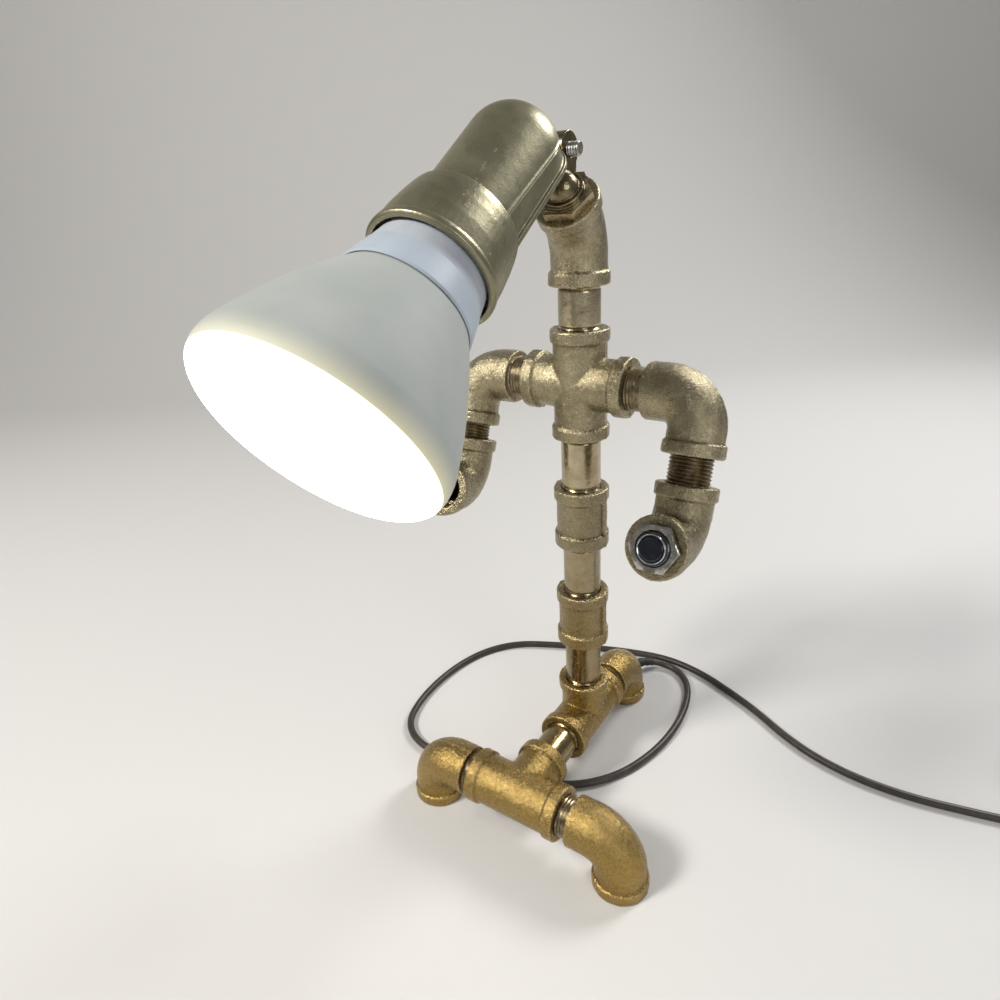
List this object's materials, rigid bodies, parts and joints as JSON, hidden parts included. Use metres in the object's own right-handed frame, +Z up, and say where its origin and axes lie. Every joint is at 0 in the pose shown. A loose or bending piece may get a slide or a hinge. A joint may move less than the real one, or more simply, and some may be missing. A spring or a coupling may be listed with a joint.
{
  "type": "pipe fitting table lamp",
  "caption": "Table lamp figure built from pipe fittings: tee base on open elbow feet, coupled column, swinging elbow arms, push switch in a hand, swivel lampholder head with reflector bulb.",
  "frame": {"origin": "on the table, under the middle of the lamp's bounding box without its cord; the column stands 59.8 mm behind it", "axes": "+Z up along the column, -Y the way the figure faces, +X its left arm side as built, the arm that holds the switch"},
  "size_m": [0.4363, 0.3635, 0.3698],
  "materials": {
    "cast_gold": "gold metallic paint over rough sand-cast iron",
    "pipe_gold": "smooth gold metallic paint on pipe, bare dark threads at the ends",
    "holder_gold": "satin gold metallic paint on smooth die-cast aluminium",
    "swivel_dark": "dark bronzed casting",
    "screw_steel": "plain zinc steel",
    "switch_chrome": "polished nickel bezel and barrel",
    "button_plastic": "gloss blue-black",
    "black_phenolic": "moulded black insulator",
    "brass": "plain rolled brass",
    "bulb_glass": "frosted white, lit",
    "bulb_white": "white moulded plastic",
    "bulb_base": "bright nickel",
    "board": "white solder mask on aluminium",
    "driver": "green circuit board block",
    "rubber_black": "soft black rubber",
    "cord_jacket": "dark brown-black round cord",
    "lead_jacket": "sleeved lead",
    "plug_black": "moulded plug"
  },
  "bodies": {
    "stand": {"base_tee": "cast_gold", "front_tee": "cast_gold", "front_nipple": "pipe_gold", "left_foot_elbow": "cast_gold", "right_foot_elbow": "cast_gold", "rear_foot_elbow": "cast_gold", "cord_grommet": "rubber_black", "lower_nipple": "pipe_gold", "lower_coupling": "cast_gold", "middle_nipple": "pipe_gold", "upper_coupling": "cast_gold", "upper_nipple": "pipe_gold", "chest_cross": "cast_gold", "neck_nipple": "pipe_gold", "supply_lead": "lead_jacket", "switch_lead_chest": "lead_jacket", "power_cord": "cord_jacket", "cord_coil": "cord_jacket", "coil_tie": "plug_black", "plug_body": "plug_black", "plug_blades": "brass"},
    "neck": {"neck_elbow": "cast_gold", "swivel_arm": "swivel_dark", "swivel_lock_nut": "swivel_dark", "swivel_screw": "screw_steel", "neck_lead": "lead_jacket"},
    "head": {"lampholder": "holder_gold", "rim_gasket": "rubber_black", "socket_insulator": "black_phenolic", "screw_shell": "brass", "centre_contact": "brass", "terminal_screws": "screw_steel", "socket_leads": "lead_jacket"},
    "bulb": {"bulb_glass": "bulb_glass", "bulb_collar": "bulb_white", "bulb_led_board": "board", "bulb_driver": "driver", "bulb_screw_base": "bulb_base", "bulb_base_insulator": "black_phenolic", "bulb_tip_contact": "bulb_base"},
    "right_arm": {"right_shoulder_elbow": "cast_gold", "right_arm_nipple": "pipe_gold", "switch_lead_arm": "lead_jacket"},
    "right_hand": {"right_hand_elbow": "cast_gold", "hand_hex_nut": "screw_steel", "switch_body": "switch_chrome", "switch_spring": "screw_steel", "switch_terminals": "brass", "switch_lead_hand": "lead_jacket"},
    "button": {"switch_button": "button_plastic"},
    "left_arm": {"left_shoulder_elbow": "cast_gold", "left_arm_nipple": "pipe_gold"},
    "left_hand": {"left_hand_elbow": "cast_gold"}
  },
  "joints": [
    {"name": "head_pan", "type": "hinge", "parent": "stand", "child": "neck", "pos_m": [0, 0.05975, 0.2936], "axis": [0, 0, 1], "range_deg": [-35, 35]},
    {"name": "head_tilt", "type": "hinge", "parent": "neck", "child": "head", "pos_m": [0, 0.04235, 0.352], "axis": [1, 0, 0], "range_deg": [-60, 8]},
    {"name": "bulb_unscrew", "type": "slide", "parent": "head", "child": "bulb", "axis": [0, -0.8339, -0.5519], "range_m": [0, 0.028]},
    {"name": "right_arm_swing", "type": "hinge", "parent": "stand", "child": "right_arm", "pos_m": [0.0322, 0.05975, 0.2445], "axis": [-1, 0, 0], "range_deg": [-35, 20]},
    {"name": "right_hand_twist", "type": "hinge", "parent": "right_arm", "child": "right_hand", "pos_m": [0.0644, 0.04587, 0.20486], "axis": [0, 0.3305, 0.9438], "range_deg": [-30, 30]},
    {"name": "button_press", "type": "slide", "parent": "right_hand", "child": "button", "axis": [0.0262, 0.9435, -0.3304], "range_m": [0, 0.0022], "stiffness_N_per_m": 600, "springref_m": -0.002, "deforming": ["switch_spring"]},
    {"name": "left_arm_swing", "type": "hinge", "parent": "stand", "child": "left_arm", "pos_m": [-0.0322, 0.05975, 0.2445], "axis": [-1, 0, 0], "range_deg": [-35, 20]},
    {"name": "left_hand_twist", "type": "hinge", "parent": "left_arm", "child": "left_hand", "pos_m": [-0.0644, 0.04685, 0.20982], "axis": [0, 0.3486, 0.9373], "range_deg": [-30, 30]}
  ]
}
